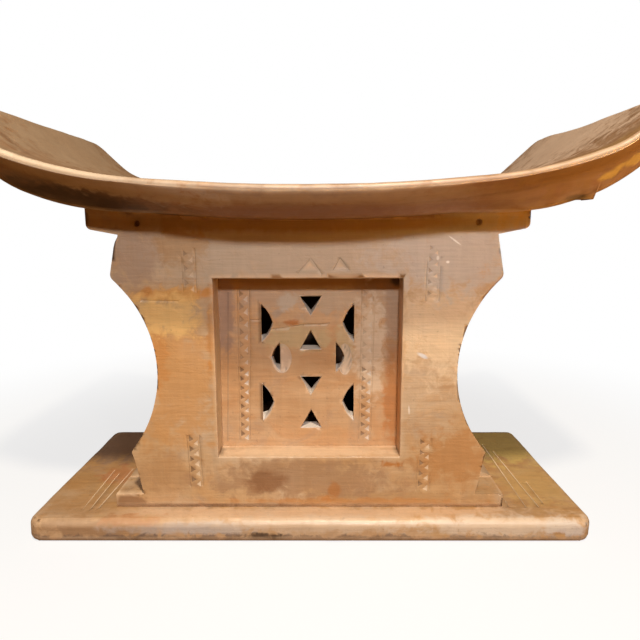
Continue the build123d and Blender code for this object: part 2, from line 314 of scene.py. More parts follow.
@dataclass(frozen=True)
class WoodFinish:
    """One wood finish: its colours, its gloss and how hard it has been used."""

    name: str
    pale: Rgb
    warm: Rgb
    rich: Rgb
    deep: Rgb
    dust: Rgb = (0.34, 0.25, 0.19)
    # the next colour is dirt, and also painted shade in creases, in dark cuts and on the pillar's inside
    dirt_and_shade: Rgb = (0.045, 0.016, 0.006)
    worn_colour: Rgb = (0.80, 0.56, 0.36)
    # the next colour is fresh-cut wood, and also painted light on lit walls and on the chips' right
    # columns
    fresh_and_lit: Rgb = (0.80, 0.62, 0.44)
    worn: float = 0.7
    # how strongly grime and painted shade darken the concave creases
    crease_dirt_shade_strength: float = 0.8
    streak: float = 0.3
    dusty: float = 0.35
    gloss: float = 0.44
    coat: float = 0.22
    bump: float = 0.3
    tooled: float = 0.3  # how deep the scraper strokes feel
    stains: tuple[Stain, ...] = ()

    def colour(self, graph: Graph, effects: WoodEffects, place: NodeSocket, grain: dict, patina: dict,
               stroke: NodeSocket) -> NodeSocket:
        """The wood's colour before wear: hues, figure, stains and fibres.

        Args:
            graph: the material's graph.
            effects: the shared node groups.
            place: where the wood is.
            grain: the grain's masks.
            patina: the patina's masks.
            stroke: the scraper strokes.
        Returns:
            The colour's socket.
        """
        colour = graph.mix(patina["Broad"], self.pale, self.warm)
        colour = graph.tint(colour, patina["Cloud"], 0.5, self.rich)
        colour = graph.tint(colour, grain["Figure"], self.streak, self.deep)
        colour = graph.tint(colour, patina["Smudge"], self.dusty, self.dust)
        for stain in self.stains:
            colour = stain.lay(graph, effects.stain, place, patina["Torn"], colour)
        colour = graph.shade(colour, grain["Fibre"], 0.955, 1.03)
        colour = graph.shade(colour, stroke, 0.975, 1.015)
        colour = graph.tint(colour, grain["Pore"], 0.2, self.deep)
        return graph.tint(colour, patina["Speck"], 0.2, self.dirt_and_shade)

    def material(self, effects: WoodEffects) -> Material:
        """Builds the finish as a procedural material.

        Args:
            effects: the shared node groups.
        Returns:
            The material.
        """
        material = bpy.data.materials.new(self.name)
        graph = open_nodes(material)
        place = graph.add("ShaderNodeTexCoord").outputs["Object"]
        grain, patina, tools = (graph.add("ShaderNodeGroup", {"Place": place}, node_tree=tree).outputs
                                for tree in (effects.grain, effects.patina, effects.tool_marks))
        worn, nook = (
            graph.math("MULTIPLY", graph.attribute(name), graph.span(patina["Cloud"], 0.0, 1.0, *ends))
            for name, ends in (("worn", (1.0, 0.5)), ("nook", (0.7, 1.0))))
        colour = self.colour(graph, effects, place, grain, patina, tools["Stroke"])
        # grime with painted shade in concave creases
        colour = graph.tint(colour, nook, self.crease_dirt_shade_strength, self.dirt_and_shade)
        colour = graph.tint(colour, worn, self.worn, self.worn_colour)
        # pale cuts: fresh wood and painted light; dark cuts: dirt and painted shade
        colour = graph.mix(graph.attribute("cut"), colour, self.fresh_and_lit)
        colour = graph.mix(graph.attribute("soot"), colour, self.dirt_and_shade)
        rough = self.gloss - 0.05
        for mask, weight in ((grain["Fibre"], 0.1), (patina["Smudge"], 0.14), (worn, -0.1)):
            rough = graph.math("MULTIPLY_ADD", mask, weight, rough)
        rough = graph.math("MULTIPLY_ADD", nook, 0.3, rough, clamp=True)
        height = graph.math("MULTIPLY", grain["Fibre"], 0.3)
        for mask, weight in ((tools["Stroke"], self.tooled), (patina["Cloud"], 0.9), (tools["Facet"], 0.9),
                             (grain["Pore"], -0.4)):
            height = graph.math("MULTIPLY_ADD", mask, weight, height)
        bump = graph.add("ShaderNodeBump", {"Strength": self.bump, "Distance": 0.6 * MM, "Height": height})
        shader = graph.add("ShaderNodeBsdfPrincipled", {
            "Base Color": colour, "Roughness": rough, "Coat Weight": self.coat, "Coat Roughness": 0.34,
            "Normal": bump.outputs["Normal"]})
        graph.add("ShaderNodeOutputMaterial", {"Surface": shader.outputs["BSDF"]})
        return material


# ---------------------------------------------------------------- mesh helpers
def unit(value: float) -> float:
    """A number kept between 0 and 1."""
    return min(1.0, max(0.0, value))


def ease(value: float, low: float, high: float) -> float:
    """A smooth step of `value` from 0 at `low` to 1 at `high`."""
    share = unit((value - low) / (high - low))
    return share * share * (3.0 - 2.0 * share)


def cad_copy(node: str) -> BMesh:
    """A merged copy of a CAD node's mesh, its flat faces joined up.

    Args:
        node: the CAD node's name.
    Returns:
        The copy.
    """
    shape = bmesh.new()
    shape.from_mesh(bpy.data.objects[node].data)
    bmesh.ops.remove_doubles(shape, verts=shape.verts, dist=0.004 * MM)
    bmesh.ops.dissolve_limit(shape, angle_limit=math.radians(0.4), verts=shape.verts, edges=shape.edges)
    return shape


def round_over(shape: BMesh, edges: Sequence[BMEdge], width: float, segments: int) -> None:
    """Rounds edges over.

    Args:
        shape: the mesh.
        edges: the edges to round.
        width: how far the rounding reaches from each edge, in mm.
        segments: facets across it.
    """
    bmesh.ops.bevel(shape, geom=list(edges), offset=width * MM, offset_type="OFFSET", segments=segments,
                    profile=0.5, affect="EDGES", clamp_overlap=True, material=-1)


def rounded_slab(size: Point3, bottom: float, corners: tuple[float, int], top: tuple[float, int],
                 under: tuple[float, int]) -> BMesh:
    """A level slab with its corners and rims rounded over.

    Args:
        size: its length, depth and thickness, in mm.
        bottom: the height of its underside, in mm.
        corners: the rounding's width in mm and its facets, at the upright corners.
        top: the same for the upper rim.
        under: the same for the lower rim.
    Returns:
        The mesh, in metres.
    """
    shape = bmesh.new()
    bmesh.ops.create_cube(shape, size=1.0)
    bmesh.ops.scale(shape, vec=tuple(side * MM for side in size), verts=shape.verts)
    bmesh.ops.translate(shape, vec=(0, 0, (bottom + size[2] / 2) * MM), verts=shape.verts)
    upright = [e for e in shape.edges if abs(e.verts[0].co.z - e.verts[1].co.z) > MM]
    round_over(shape, upright, *corners)
    for level, rounding in ((bottom + size[2], top), (bottom, under)):
        rim = [e for e in shape.edges if all(abs(v.co.z - level * MM) < 1e-6 for v in e.verts)]
        round_over(shape, rim, *rounding)
    return shape


def sharp_edges(shape: BMesh, test: Callable[[Vector], bool], angle: float = 25.0) -> list[BMEdge]:
    """Convex edges sharper than `angle` degrees whose middle, in mm, passes `test`."""
    found = []
    for edge in shape.edges:
        if len(edge.link_faces) == 2 and edge.calc_face_angle_signed() > math.radians(angle):
            if test((edge.verts[0].co + edge.verts[1].co) / 2 / MM):
                found.append(edge)
    return found


def rule_off(shape: BMesh, axis: int, low: float, high: float, step: float,
             skin: FaceTest | None = None) -> None:
    """Cuts a piece's skin by evenly spaced planes, so that it can be shaped.

    Args:
        shape: the mesh.
        axis: 0, 1 or 2 for X, Y or Z.
        low: the first plane, in mm.
        high: the last, in mm.
        step: their spacing, in mm.
        skin: says which faces are cut; all of them without it.
    """
    normal = Vector([1.0 if i == axis else 0.0 for i in range(3)])
    count = max(1, round((high - low) / step))
    for i in range(count + 1):
        at = (low + (high - low) * i / count) * MM
        parts = [*shape.faces, *shape.edges, *shape.verts]
        if skin:
            crossed = {face for edge in shape.edges
                       if (edge.verts[0].co[axis] - at) * (edge.verts[1].co[axis] - at) < 0
                       for face in edge.link_faces}
            faces = [face for face in crossed if skin(face)]
            if not faces:
                continue
            parts = [*faces, *{e for f in faces for e in f.edges}, *{v for f in faces for v in f.verts}]
        bmesh.ops.bisect_plane(shape, geom=parts, dist=0.01 * MM, plane_co=normal * at, plane_no=normal)


def hand_wave(place: Vector, slow: float, quick: float) -> float:
    """How far a hand-cut surface lies below the true one at a place, in metres.

    Args:
        place: the point.
        slow: depth of the broad waves, in mm.
        quick: depth of the small ones, in mm.
    Returns:
        A depth from 0 to slow + quick.
    """
    broad = noise.noise(place * 24.0) * 0.5 + 0.5
    small = noise.noise(place * 95.0 + Vector((7.0, 3.0, 1.0))) * 0.5 + 0.5
    return MM * (slow * unit(broad) + quick * unit(small))


def hew(shape: BMesh, skin: FaceTest, slow: float, quick: float) -> None:
    """Sinks the skin's vertices by a hand's unevenness, square to the skin.

    Args:
        shape: the mesh.
        skin: says which faces are skin.
        slow: depth of the broad waves, in mm.
        quick: depth of the small ones, in mm.
    """
    shape.normal_update()
    inward: dict[BMVert, Vector] = {}
    for face in shape.faces:
        if skin(face):
            for vert in face.verts:
                inward[vert] = inward.get(vert, Vector()) - face.normal * face.calc_area() ** 0.5
    for vert, push in inward.items():
        if push.length > 0:
            vert.co += push.normalized() * hand_wave(vert.co, slow, quick)


def make_object(name: str, shape: BMesh) -> Object:
    """Turns a bmesh into an object in the scene and frees the bmesh."""
    mesh = bpy.data.meshes.new(name)
    shape.to_mesh(mesh)
    shape.free()
    piece = bpy.data.objects.new(name, mesh)
    bpy.context.scene.collection.objects.link(piece)
    return piece


def boolean(piece: Object, tools: BMesh, overlapping: bool = False) -> None:
    """Cuts tools out of a piece for good.

    Args:
        piece: the piece.
        tools: closed shapes, in place.
        overlapping: whether the tools run into each other.
    """
    cutter = make_object("cutter", tools)
    modifier = piece.modifiers.new("cut", "BOOLEAN")
    modifier.operation = "DIFFERENCE"
    modifier.solver = "EXACT"
    modifier.use_self = overlapping
    modifier.object = cutter
    graph = bpy.context.evaluated_depsgraph_get()
    result = bpy.data.meshes.new_from_object(piece.evaluated_get(graph))
    piece.modifiers.clear()
    piece.data = result
    bpy.data.objects.remove(cutter)


def mark_edges(shape: BMesh, full_bend: float = 34.0, slack_bend: float = 4.0) -> None:
    """Writes two layers on a mesh's vertices: worn for rubbed edges, and a crease layer for grime with
    painted shade in concave corners.

    It also lays out the face layers that a knife fills: cut for pale fresh wood and painted light, the
    other for dark cuts and painted shade.

    Args:
        shape: the mesh.
        full_bend: the bend beyond the slack, in degrees, at which an edge is rubbed through.
        slack_bend: the bend, in degrees, that leaves no mark.
    """
    shape.normal_update()
    worn, nook = (shape.verts.layers.float.new(name) for name in ("worn", "nook"))
    for name in KNIFE_LAYERS:
        shape.faces.layers.float.new(name)
    bend: dict[BMVert, float] = {}
    for edge in shape.edges:
        if len(edge.link_faces) == 2 and edge.calc_length() > 0:
            turn = edge.calc_face_angle_signed(0.0) / 2
            for vert in edge.verts:
                bend[vert] = bend.get(vert, 0.0) + turn
    slack, full = math.radians(slack_bend), math.radians(full_bend)
    for vert, turn in bend.items():
        vert[worn] = unit((turn - slack) / full)
        vert[nook] = unit((-turn - slack) / full)


def settle(piece: Object, finish: Material, slot: Slot, *nodes: str,
           sharp: float = 38.0) -> Object:
    """Gives a finished piece its material, shading and place in the frame.

    Args:
        piece: the piece.
        finish: its material.
        slot: not used.
        nodes: the CAD nodes it stands for.
        sharp: edges over this many degrees stay crisp.
    Returns:
        The piece.
    """
    mesh = piece.data
    mesh.materials.clear()
    mesh.materials.append(finish)
    mesh.polygons.foreach_set("use_smooth", [True] * len(mesh.polygons))
    mesh.set_sharp_from_angle(angle=math.radians(sharp))
    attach(piece, BODY)
    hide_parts(*nodes)
    triangles = sum(len(p.vertices) - 2 for p in mesh.polygons)
    log.info("%s: %d triangles, stands for %s", piece.name, triangles, ", ".join(nodes))
    return piece


# ---------------------------------------------------------------- carving tools
def v_bar(shape: BMesh, start: Sequence[Vector], end: Sequence[Vector]) -> list[BMVert]:
    """Adds a three-sided bar for cutting a V groove.

    Args:
        shape: the mesh that it joins.
        start: its corners at one end: left, right and keel.
        end: the same at the other end.
    Returns:
        The bar's vertices.
    """
    bar = bmesh.ops.create_cone(shape, cap_ends=True, segments=3, radius1=1.0, radius2=1.0, depth=1.0)
    rings = [[v for v in bar["verts"] if v.co.z * ring > 0] for ring in (-1, 1)]
    for verts, corners in zip(rings, (start, end)):
        for vert, corner in zip(verts, corners):
            vert.co = corner
    return bar["verts"]


@dataclass
class Knife:
    """Cutting tools for the chip carving on an upright face, gathered into one mesh.

    The face lies at `plane` mm and looks along -Y at the front and +Y at the back.
    """

    plane: float
    way: Way = Way.FRONT
    lead: float = 0.15  # how far the tools stand out before the face, in mm
    shape: BMesh = field(default_factory=bmesh.new)

    def __post_init__(self) -> None:
        """Lays out the layers that say how a cut looks."""
        for name in KNIFE_LAYERS:
            self.shape.faces.layers.float.new(name)

    def tone(self, verts: Iterable[BMVert], tone: float) -> None:
        """Makes a tool's faces cut pale, up to 1, or dark, down to -1."""
        cut, soot = (self.shape.faces.layers.float[name] for name in KNIFE_LAYERS)
        for face in {face for vert in verts for face in vert.link_faces}:
            face[cut] = max(0.0, tone)
            face[soot] = max(0.0, -tone)

    def into(self, x: float, z: float, depth: float) -> Vector:
        """A point in metres, `depth` mm behind the face; the back mirrors the front."""
        side = self.way.value
        return Vector((-side * x, side * (self.plane - depth), z)) * MM

    def chip(self, corners: Sequence[Point2], deep: Point2, depth: float, tone: float) -> None:
        """A three-cornered chip.

        Args:
            corners: the chip's mouth on the face, in mm.
            deep: where it is deepest.
            depth: how deep, in mm.
            tone: how pale (up to 1) or dark (down to -1) it is.
        """
        tip = Vector((*deep, depth))
        grown = (depth + self.lead) / depth
        cone = bmesh.ops.create_cone(self.shape, cap_ends=True, segments=3, radius1=1.0, radius2=0.0,
                                     depth=1.0)
        peak = max(cone["verts"], key=lambda v: v.co.z)
        mouth = [v for v in cone["verts"] if v is not peak]
        peak.co = self.into(*tip)
        for vert, corner in zip(mouth, corners):
            spot = tip + (Vector((*corner, 0.0)) - tip) * grown
            vert.co = self.into(*spot)
        self.tone(cone["verts"], tone)

    def line(self, start: Point2, end: Point2, width: float, depth: float, tone: float = 0.0) -> None:
        """A V cut along a straight line.

        Args:
            start: where it starts, in mm.
            end: where it ends.
            width: its width on the face, in mm.
            depth: its depth, in mm.
            tone: how pale or dark it is.
        """
        run = Vector(end) - Vector(start)
        across = Vector((-run.y, run.x)).normalized() * width / 2 * (depth + self.lead) / depth
        ends = [(self.into(*(spot + across), -self.lead), self.into(*(spot - across), -self.lead),
                 self.into(*spot, depth)) for spot in (Vector(start), Vector(end))]
        self.tone(v_bar(self.shape, *ends), tone)

    def scoop(self, centre: Point2, half: Point2, lean: float, depth: float, tone: float) -> None:
        """A shallow gouge hollow.

        Args:
            centre: its middle, in mm.
            half: half its width and half its height, in mm.
            lean: how far it leans from upright, in degrees.
            depth: its depth, in mm.
            tone: how pale or dark it is.
        """
        ball = bmesh.ops.create_uvsphere(self.shape, u_segments=20, v_segments=12, radius=1.0)
        squash = Matrix.Diagonal((half[0], depth + self.lead, half[1], 1.0))
        turn = Matrix.Rotation(math.radians(lean), 4, "Y")
        for vert in ball["verts"]:
            spot = turn @ squash @ vert.co.copy()
            vert.co = self.into(centre[0] + spot.x, centre[1] + spot.z, spot.y - self.lead)
        self.tone(ball["verts"], tone)

    def finish(self) -> BMesh:
        """The tools with their faces turned outward, ready to cut."""
        bmesh.ops.recalc_face_normals(self.shape, faces=self.shape.faces)
        return self.shape


@dataclass
class LevelKnife(Knife):
    """The same tools for a level face at a height of `plane` mm, drawn in X and Y."""

    def into(self, x: float, z: float, depth: float) -> Vector:
        """A point in metres, `depth` mm below the face."""
        return Vector((x, z, self.plane - depth)) * MM


@dataclass(frozen=True)
class ChipBand:
    """An upright band of three-cornered chips in two columns, between two incised lines.

    The left column's chips are painted dark and the right one's pale: partly dirt and fresh wood, partly
    painted shade and painted light as from a lamp on the right.
    """

    top: Point3  # left X, right X and Z, in mm
    foot: Point3
    pitch: float
    depth: float
    faint: float = 1.0  # how strongly the columns stand out
    beside: float = 1.1  # how far outside the columns the lines run

    def cut(self, knife: Knife) -> None:
        """Cuts the band with a knife."""
        left_top, right_top, high = self.top
        left_foot, right_foot, low = self.foot
        count = max(1, round((high - low) / self.pitch))
        step = (high - low) / count
        for start, end, tone in ((left_top - self.beside, left_foot - self.beside, -0.45),
                                 (right_top + self.beside, right_foot + self.beside, -0.55)):
            knife.line((start, high), (end, low), 0.7, 0.5, tone * self.faint)
        for i in range(count):
            # the left column's chips get painted shade, the right column's painted light
            for side, offset, tone in ((1, 0.27, -0.55), (-1, 0.72, 0.6)):
                share = (i + offset) / count
                z = high - (high - low) * share
                left = left_top + (left_foot - left_top) * share
                right = right_top + (right_foot - right_top) * share
                wobble = noise.noise(Vector((z * 0.7, left * 0.3, 0.0)))
                half = step * (0.40 + 0.08 * wobble)
                reach = (right - left) * (0.60 + 0.08 * wobble)
                edge = left if side > 0 else right
                corners = [(edge, z - half), (edge, z + half * 0.9), (edge + side * reach, z - 0.3 * half)]
                knife.chip(corners, (edge + side * 0.3 * reach, z - 0.1 * half),
                           self.depth * (1.0 + 0.2 * wobble), tone * self.faint)


# ---------------------------------------------------------------- the pieces
HEWN = (0.55, 0.2)  # depth of the broad and of the small waves on the pillar, in mm
WAIST = 112.0  # the pillar's outline lies further out than this
SEAT_SEAM = 236.0  # faces that look up above this height meet the seat
BASE_SEAM = 21.0  # faces that look down below this height meet the base


@dataclass
class Seat:
    """The curved plank: its long curve, its arrises, its warp and its wear, in mm."""

    length: float = 504.0
    depth: float = 286.0
    thickness: float = 22.5
    dish_radius: float = 1300.0
    sweep_radius: float = 300.0
    sweep_angle: float = 20.0
    upturn_radius: float = 60.0
    tip_angle: float = 43.0
    tip_length: float = 50.0
    end_trim: float = 1.6
    plan_corner: float = 13.0
    top_arris: float = 3.6
    under_arris: float = 10.0
    top_z: float = 277.3
    grid: float = 4.5
    under_sweep: Point2 = (37.0, 16.5)  # how far in and how high the underside is planed off
    wing_drop: Point2 = (4.4, 8.0)  # how much thicker the left and the right wing are at the front
    wing_run: Point2 = (90.0, 185.0)  # the X over which a wing grows thicker
    wing_strip: Point3 = (12.0, 34.0, 64.0)  # how far behind the front edge: first, most and last
    wing_thin: Point3 = (190.0, 250.0, 0.8)  # the X over which the left wing loses that share of it
    lip: float = 4.0  # the upright part of the long edges, arris and all
    belly: float = 0.55  # how round the planed underside is over the pillar
    belly_run: Point2 = (40.0, 130.0)  # the X over which that fades
    lower: Point2 = (6.0, 15.0)  # the depth over which a change of the underside sets in
    underside: float = 17.5  # what lies deeper than this belongs to the underside
    seated: Point2 = (160.0, 200.0)  # the X over which the pillar lets go of the underside
    twist: float = 7.0  # how much the left end stands up at the back
    twist_from: float = -60.0  # the Y where the twist starts
    twist_run: float = 235.0  # how far out the twist is full
    sag: float = 4.0  # how hollow the right end is
    sag_run: Point2 = (215.0, 255.0)  # the X over which it sags
    sag_back: Point2 = (20.0, 110.0)  # the Y over which the sag ends
    short_corner: float = 12.0  # how much the left end is cut back at the back
    corner_run: float = 60.0  # over how much of its length it is
    ledge: Point3 = (180.0, 205.0, 267.6)  # a flat left under the right wing: X and Z
    ledge_inset: Point2 = (34.0, 62.0)  # how far behind the front edge it lies
    ledge_rules: Point3 = (196.0, 206.0, 1.6)  # finer divisions at its end: first, last and spacing
    hewn: Point2 = (0.9, 0.35)  # depth of the broad and of the small waves
    covered: Point2 = (175.0, 90.0)  # the pillar hides the underside up to here in X and Y

    def curve(self) -> list[Point3]:
        """The right half of the curve.

        Returns:
            For each stretch its length, its start slope in radians and its radius (0 for straight).
        """
        sweep, tip = math.radians(self.sweep_angle), math.radians(self.tip_angle)
        sweep_end = (self.length / 2 - self.tip_length * math.cos(tip)
                     - self.upturn_radius * (math.sin(tip) - math.sin(sweep)))
        reach = sweep_end - self.sweep_radius * math.sin(sweep)
        slope = math.asin(reach / (self.dish_radius - self.sweep_radius))
        return [(self.dish_radius * slope, 0.0, self.dish_radius),
                (self.sweep_radius * (sweep - slope), slope, self.sweep_radius),
                (self.upturn_radius * (tip - sweep), sweep, self.upturn_radius),
                (self.tip_length, tip, 0.0)]

    def half_run(self) -> float:
        """Half the plank's length before it is bent."""
        return sum(run for run, _, _ in self.curve()) - self.end_trim

    def bend(self, flat: Vector) -> Vector:
        """Where a point of the flat plank goes when it is bent.

        Args:
            flat: the point, in mm: X along the top face, Z down from it.
        Returns:
            Its place in mm, in the stool's frame.
        """
        side = 1.0 if flat.x >= 0 else -1.0
        left = abs(flat.x)
        x, z, slope = 0.0, self.top_z, 0.0
        for run, start, radius in self.curve():
            part = min(left, run)
            slope = start + (part / radius if radius else 0.0)
            if radius:
                x += radius * (math.sin(slope) - math.sin(start))
                z += radius * (math.cos(start) - math.cos(slope))
            else:
                x += part * math.cos(start)
                z += part * math.sin(start)
            left -= part
            if left <= 0:
                break
        return Vector((side * (x - flat.z * math.sin(slope)), flat.y, z + flat.z * math.cos(slope)))

    def flat_plank(self) -> BMesh:
        """The plank before it is bent, its corners and edges rounded.

        Returns:
            The mesh, in metres.
        """
        half = self.half_run()
        shape = rounded_slab((2 * half, self.depth, self.thickness), -self.thickness,
                             (self.plan_corner, 6), (self.top_arris, 4), (self.under_arris, 5))
        for axis, low, high, step in ((0, 4 - half, half - 4, self.grid), (0, *self.ledge_rules),
                                      (1, 6 - self.depth / 2, self.depth / 2 - 6, self.grid * 1.4)):
            rule_off(shape, axis, low, high, step)
        return shape

    def thin_edge(self, flat: Vector) -> None:
        """Planes the underside off towards the long edges, below the upright lip."""
        reach, height = self.under_sweep
        inset = self.depth / 2 - abs(flat.y)
        if inset < reach and flat.z < -self.lip:
            near = 1.0 - inset / reach
            belly = self.belly * (1.0 - ease(abs(flat.x), *self.belly_run))
            rise = height * ((1.0 - belly) * near + belly * (1.0 - math.sqrt(max(0.0, 1.0 - near * near))))
            full = self.thickness - self.lip
            flat.z = -self.lip + (flat.z + self.lip) * (full - rise) / full

    def warp(self, flat: Vector) -> Vector:
        """Bends a point and adds the plank's twist, its short corner and the ledge on the right.

        Args:
            flat: the point of the flat plank, in mm.
        Returns:
            Its place in mm.
        """
        back = ease(flat.y, self.twist_from, self.depth / 2)
        end = ease(abs(flat.x), self.half_run() - self.corner_run, self.half_run())
        low, on_underside = ease(-flat.z, *self.lower), -flat.z > self.underside
        if flat.x < 0:
            flat.x += self.short_corner * back * end
        self.thin_edge(flat)
        spot = self.bend(flat)
        seated = low * (1.0 - ease(-spot.x, *self.seated))
        spot.z += self.twist * back * unit(-spot.x / self.twist_run) * (1.0 - seated)
        spot.z -= self.sag * ease(spot.x, *self.sag_run) * (1.0 - ease(flat.y, *self.sag_back))
        inset = self.depth / 2 + flat.y
        first, most, last = self.wing_strip
        strip = ease(inset, first, most) * (1.0 - ease(inset, most, last))
        thicker = self.wing_drop[spot.x > 0] * ease(abs(spot.x), *self.wing_run)
        thin_from, thin_to, thinner = self.wing_thin
        spot.z -= low * strip * thicker * (1.0 - thinner * ease(-spot.x, thin_from, thin_to))
        start, stop, level = self.ledge
        near, far = self.ledge_inset
        if start < spot.x < stop and on_underside and near < inset < far:
            spot.z = min(spot.z, level)
        return spot

    def build(self, finish: Material) -> Object:
        """Bends, hews and fits the plank.

        Args:
            finish: its wood.
        Returns:
            The seat.
        """
        shape = self.flat_plank()
        for vert in shape.verts:
            vert.co = self.warp(vert.co / MM) * MM

        def skin(face: BMFace) -> bool:
            """Whether a face shows: the underside over the pillar doesn't."""
            centre = face.calc_center_median() / MM
            far_x, far_y = self.covered
            return not (face.normal.z < -0.5 and abs(centre.y) < far_y and abs(centre.x) < far_x)

        hew(shape, skin, *self.hewn)
        mark_edges(shape, full_bend=24.0, slack_bend=10.0)
        piece = make_object("carved_seat", shape)
        boolean(piece, cad_copy("seat_dowels"))
        return settle(piece, finish, Slot.SEAT, "seat", sharp=50.0)


def swell(shape: BMesh, out: float = 2.0) -> None:
    """Lets the pillar's left outline stand `out` mm further out than the right one."""
    for vert in shape.verts:
        x, z = vert.co.x / MM, vert.co.z / MM
        vert.co.x -= (out * MM * ease(-x, 100.0, WAIST) * ease(z, 60.0, 75.0)
                      * (1.0 - ease(z, SEAT_SEAM, 243.0)))


def hew_pillar(shape: BMesh, skin: FaceTest, grid: float, across: Iterable[Point3]) -> None:
    """Hews a piece of the pillar and marks its edges.

    Args:
        shape: the mesh.
        skin: says which faces show.
        grid: how finely they are divided along X and Z, in mm.
        across: where they are divided along Y: first, last and spacing, in mm.
    """
    rule_off(shape, 0, -166, 166, grid, skin)
    rule_off(shape, 2, 24, 262, grid, skin)
    for low, high, step in across:
        rule_off(shape, 1, low, high, step, skin)
    hew(shape, skin, *HEWN)
    swell(shape)
    mark_edges(shape)


@dataclass
class FaceBoard:
    """A face board of the pillar: eased edges, hewn face, chip bands and small triangles."""

    way: Way
    face: float = 77.0
    panel_front: float = 53.0
    window: Point3 = (74.0, 63.8, 209.4)  # half width, sill and head
    arris: float = 1.6
    window_arris: float = 1.1
    grid: float = 4.0
    pin: Point3 = (131.0, 240.0, 262.0)  # a pin hole's X and the heights between which it lies
    rules: tuple[float, ...] = (68.0, 60.0, 52.0, 47.0)  # where the outline's sides are divided

    def in_window(self, spot: Vector) -> bool:
        """Whether a place lies in the window or within a millimetre of it."""
        half, sill, head = self.window
        return abs(spot.x) < half + 1 and sill - 1 < spot.z < head + 1

    def is_skin(self, face: BMFace) -> bool:
        """Whether a face shows: the face, its arrises, the outline's sides and the window's jambs."""
        centre, normal = face.calc_center_median() / MM, face.normal
        out = self.way.value * centre.y
        if out > self.face - 3 and self.way.value * normal.y > 0.3:
            return True
        if abs(normal.y) > 0.4:
            return False
        if self.in_window(centre):
            return out > self.panel_front
        pin_x, low, high = self.pin
        near_pin = abs(abs(centre.x) - pin_x) < 3.0 and low < centre.z < high and abs(normal.x) < 0.95
        seat_contact = normal.z > 0.5 and centre.z > SEAT_SEAM
        base_contact = normal.z < -0.9 and centre.z < BASE_SEAM
        return abs(centre.x) > WAIST and not (near_pin or seat_contact or base_contact)

    def eased(self) -> BMesh:
        """The board's copy with its front edges rounded over.

        Returns:
            The mesh.
        """
        shape = cad_copy(f"{self.way.name.lower()}_board")
        front = self.way.value * self.face

        def on_rim(spot: Vector) -> bool:
            """Whether an edge's middle lies on the window's rim."""
            return abs(spot.y - front) < 0.05 and self.in_window(spot)

        def on_outline(spot: Vector) -> bool:
            """Whether an edge's middle lies on the outline, below the seat and above the base."""
            on_face = abs(spot.y - front) < 0.05
            return on_face and not self.in_window(spot) and abs(spot.x) > WAIST and spot.z > BASE_SEAM

        for test, width in ((on_rim, self.window_arris), (on_outline, self.arris)):
            shape.normal_update()
            round_over(shape, sharp_edges(shape, test), width, 3)
        return shape

    def knife_work(self) -> BMesh:
        """The tools for the bands, the two triangles and the scratches on this face.

        Returns:
            The tools.
        """
        knife = Knife(self.face, self.way)
        for band in (ChipBand((-97.0, -88.5, 233.0), (-96.5, -88.0, 199.0), 11.3, 1.2, 0.6),
                     ChipBand((93.5, 101.5, 236.0), (92.5, 101.0, 192.0), 9.0, 1.2, 0.6),
                     ChipBand((-98.5, -90.5, 82.0), (-97.0, -89.0, 38.0), 9.0, 1.7),
                     ChipBand((90.5, 99.0, 79.0), (89.5, 98.0, 34.0), 9.0, 1.6, 0.9)):
            band.cut(knife)
        for left, right, apex in (((-7.8, 213.6), (10.6, 213.6), (2.1, 225.8)),
                                  ((19.5, 216.0), (32.3, 216.0), (24.8, 225.7))):
            knife.chip([left, right, apex], (apex[0] - 0.3, apex[1] - 5.0), 1.3, 0.22)
            for foot in (left, right):
                knife.line(foot, apex, 0.8, 0.6, -0.45)
        if self.way is Way.FRONT:
            knife.line((-131.0, 193.0), (-101.5, 192.2), 0.6, 0.5, -0.5)
            knife.line((-100.8, 192.0), (-76.5, 189.5), 0.5, 0.4, -0.45)
            knife.line((-11.4, 61.3), (2.4, 46.0), 1.1, 0.3, 0.45)
            knife.scoop((121.3, 142.5), (2.2, 4.0), 0.0, 4.0, 0.3)
        return knife.finish()

    def build(self, finish: Material) -> Object:
        """Eases, hews and carves the board.

        Args:
            finish: its wood.
        Returns:
            The board.
        """
        shape = self.eased()
        side, name = self.way.value, self.way.name.lower()
        hew_pillar(shape, self.is_skin, self.grid, [(side * y, side * y, 1.0) for y in self.rules])
        nook = shape.verts.layers.float["nook"]
        for vert in shape.verts:
            if vert.co.y * side > (self.face - 3) * MM:
                vert[nook] = 0.0
        piece = make_object(f"{name}_face_board", shape)
        boolean(piece, self.knife_work(), overlapping=True)
        return settle(piece, finish, Slot.PILLAR, f"{name}_board")


